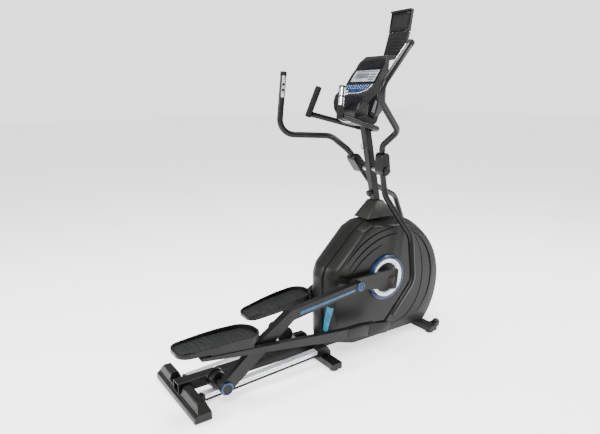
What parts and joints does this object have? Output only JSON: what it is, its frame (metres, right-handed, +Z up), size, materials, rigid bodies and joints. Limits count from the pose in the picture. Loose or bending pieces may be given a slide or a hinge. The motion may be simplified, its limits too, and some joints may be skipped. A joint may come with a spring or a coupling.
{
  "type": "elliptical trainer",
  "caption": "Floor-standing elliptical cross trainer with foot pedals on rail-guided links, swinging handlebars, fixed grips, a console and a round-fronted drive housing.",
  "frame": {"origin": "on the floor, below the middle of the machine's bounding box", "axes": "+X towards the drive housing at the front, +Y to the user's left, +Z up"},
  "size_m": [1.6891, 0.5834, 1.7971],
  "materials": {
    "black_frame": "satin black powder coat",
    "grey_plastic": "moulded, matt",
    "black_plastic": "moulded, satin",
    "rubber_feet": "matt",
    "chrome_rail": "polished",
    "steel": "brushed",
    "blue_trim": "metallic gloss",
    "white_trim": "gloss",
    "belt_rubber": "matt",
    "screen": "clear lens over a grey display",
    "blue_panel": "printed film",
    "foam": "closed foam",
    "sensor_steel": "satin",
    "crank_paint": "satin",
    "flywheel_iron": "machined",
    "wheel_plastic": "moulded",
    "key_plastic": "moulded",
    "roller_plastic": "cast polyurethane",
    "pedal_plastic": "textured",
    "silver_plate": "silver paint"
  },
  "bodies": {
    "frame": {"base_beam": "black_frame", "rear_stabiliser": "black_frame", "rear_stabiliser_cover": "grey_plastic", "front_stabiliser": "black_frame", "stabiliser_caps": "black_plastic", "levelling_feet": "rubber_feet", "rails": "chrome_rail", "rail_supports": "black_frame", "mast": "black_frame", "pivot_shaft": "steel", "mast_fittings": "black_plastic", "pivot_caps": "grey_plastic", "right_shroud": "black_plastic", "left_shroud": "black_plastic", "shroud_band": "black_plastic", "shroud_collar": "grey_plastic", "ring_trims": "blue_trim", "ring_liners": "white_trim", "drive_frame": "black_frame", "brake_magnet": "steel", "drive_belt": "belt_rubber", "console_shell": "black_plastic", "console_screen": "screen", "keypad_panel": "blue_panel", "fixed_handlebar": "black_frame", "fixed_grips": "foam", "pulse_sensors": "sensor_steel", "tablet_stand": "grey_plastic"},
    "crank": {"crank_axle": "steel", "drive_pulley": "black_plastic", "right_crank": "crank_paint", "left_crank": "crank_paint"},
    "flywheel": {"flywheel": "flywheel_iron"},
    "transport_wheels": {"transport_wheels": "wheel_plastic"},
    "tablet_clamp": {"tablet_clamp": "grey_plastic"},
    "start_key": {"start_key": "key_plastic"},
    "stop_key": {"stop_key": "key_plastic"},
    "right_carriage": {"right_carriage": "black_plastic"},
    "right_roller": {"right_roller": "roller_plastic"},
    "right_link": {"right_link": "black_frame", "right_pin_cap": "blue_trim"},
    "right_pedal_arm": {"right_pedal_arm": "black_frame", "right_pedal": "pedal_plastic"},
    "right_swing_arm": {"right_swing_arm": "black_frame", "right_handlebar": "black_frame", "right_button_plate": "silver_plate"},
    "right_button_1": {"right_button_1": "key_plastic"},
    "right_button_2": {"right_button_2": "key_plastic"},
    "left_carriage": {"left_carriage": "black_plastic"},
    "left_roller": {"left_roller": "roller_plastic"},
    "left_link": {"left_link": "black_frame", "left_pin_cap": "blue_trim"},
    "left_pedal_arm": {"left_pedal_arm": "black_frame", "left_pedal": "pedal_plastic"},
    "left_swing_arm": {"left_swing_arm": "black_frame", "left_handlebar": "black_frame", "left_button_plate": "silver_plate"},
    "left_button_1": {"left_button_1": "key_plastic"},
    "left_button_2": {"left_button_2": "key_plastic"}
  },
  "joints": [
    {"name": "crank_turn", "type": "hinge", "parent": "frame", "child": "crank", "pos_m": [0.394, 0, 0.389], "axis": [0, 1, 0], "range_deg": [0, 180]},
    {"name": "flywheel_spin", "type": "hinge", "parent": "frame", "child": "flywheel", "pos_m": [0.684, 0, 0.3], "axis": [0, 1, 0], "range_deg": [0, 1440.01]},
    {"name": "right_carriage_slide", "type": "slide", "parent": "frame", "child": "right_carriage", "axis": [0.9986, 0, 0.0523], "range_m": [0, 0.47653]},
    {"name": "right_roller_spin", "type": "hinge", "parent": "right_carriage", "child": "right_roller", "pos_m": [-0.62777, 0, 0.10029], "axis": [0, 1, 0], "range_deg": [0, 682.57]},
    {"name": "right_link_pivot", "type": "hinge", "parent": "right_carriage", "child": "right_link", "pos_m": [-0.62777, 0, 0.10029], "axis": [0, 1, 0], "range_deg": [0, 5.36]},
    {"name": "right_pedal_arm_pivot", "type": "hinge", "parent": "right_link", "child": "right_pedal_arm", "pos_m": [-0.43334, 0, 0.2461], "axis": [0, 1, 0], "range_deg": [-13.67, 0]},
    {"name": "right_swing_pivot", "type": "hinge", "parent": "frame", "child": "right_swing_arm", "pos_m": [0.3625, 0, 0.98], "axis": [0, 1, 0], "range_deg": [-36.13, 0]},
    {"name": "left_carriage_slide", "type": "slide", "parent": "frame", "child": "left_carriage", "axis": [0.9986, 0, 0.0523], "range_m": [-0.47653, 0]},
    {"name": "left_roller_spin", "type": "hinge", "parent": "left_carriage", "child": "left_roller", "pos_m": [-0.15191, 0, 0.12523], "axis": [0, 1, 0], "range_deg": [-682.57, 0]},
    {"name": "left_link_pivot", "type": "hinge", "parent": "left_carriage", "child": "left_link", "pos_m": [-0.15191, 0, 0.12523], "axis": [0, 1, 0], "range_deg": [-5.36, 0]},
    {"name": "left_pedal_arm_pivot", "type": "hinge", "parent": "left_link", "child": "left_pedal_arm", "pos_m": [0.05528, 0, 0.25228], "axis": [0, 1, 0], "range_deg": [0, 13.67]},
    {"name": "left_swing_pivot", "type": "hinge", "parent": "frame", "child": "left_swing_arm", "pos_m": [0.3625, 0, 0.98], "axis": [0, 1, 0], "range_deg": [0, 36.13]},
    {"name": "transport_wheel_spin", "type": "hinge", "parent": "frame", "child": "transport_wheels", "pos_m": [0.774, 0, 0.035], "axis": [0, 1, 0], "continuous": true},
    {"name": "right_button_1_press", "type": "slide", "parent": "right_swing_arm", "child": "right_button_1", "axis": [0.264, -0.9396, -0.218], "range_m": [0, 0.0015], "stiffness_N_per_m": 400},
    {"name": "right_button_2_press", "type": "slide", "parent": "right_swing_arm", "child": "right_button_2", "axis": [0.264, -0.9396, -0.218], "range_m": [0, 0.0015], "stiffness_N_per_m": 400},
    {"name": "left_button_1_press", "type": "slide", "parent": "left_swing_arm", "child": "left_button_1", "axis": [0.3417, 0.9396, -0.0205], "range_m": [0, 0.0015], "stiffness_N_per_m": 400},
    {"name": "left_button_2_press", "type": "slide", "parent": "left_swing_arm", "child": "left_button_2", "axis": [0.3417, 0.9396, -0.0205], "range_m": [0, 0.0015], "stiffness_N_per_m": 400},
    {"name": "start_key_press", "type": "slide", "parent": "frame", "child": "start_key", "axis": [0.6139, 0, -0.7894], "range_m": [0, 0.0015], "stiffness_N_per_m": 400},
    {"name": "stop_key_press", "type": "slide", "parent": "frame", "child": "stop_key", "axis": [0.6139, 0, -0.7894], "range_m": [0, 0.0015], "stiffness_N_per_m": 400},
    {"name": "tablet_clamp_slide", "type": "slide", "parent": "frame", "child": "tablet_clamp", "axis": [0.1736, 0, 0.9848], "range_m": [0, 0.04], "stiffness_N_per_m": 150}
  ],
  "couplings": [
    {"joint": "flywheel_spin", "follows": "crank_turn", "ratio": 8},
    {"joint": "right_carriage_slide", "follows": "crank_turn", "m_per_rad": 0.15168},
    {"joint": "right_roller_spin", "follows": "crank_turn", "ratio": 3.792},
    {"joint": "right_link_pivot", "follows": "crank_turn", "ratio": 0.029723},
    {"joint": "right_pedal_arm_pivot", "follows": "crank_turn", "ratio": -0.075871},
    {"joint": "right_swing_pivot", "follows": "crank_turn", "ratio": -0.20068},
    {"joint": "left_carriage_slide", "follows": "crank_turn", "m_per_rad": -0.15168},
    {"joint": "left_roller_spin", "follows": "crank_turn", "ratio": -3.792},
    {"joint": "left_link_pivot", "follows": "crank_turn", "ratio": -0.029723},
    {"joint": "left_pedal_arm_pivot", "follows": "crank_turn", "ratio": 0.075871},
    {"joint": "left_swing_pivot", "follows": "crank_turn", "ratio": 0.20068}
  ]
}
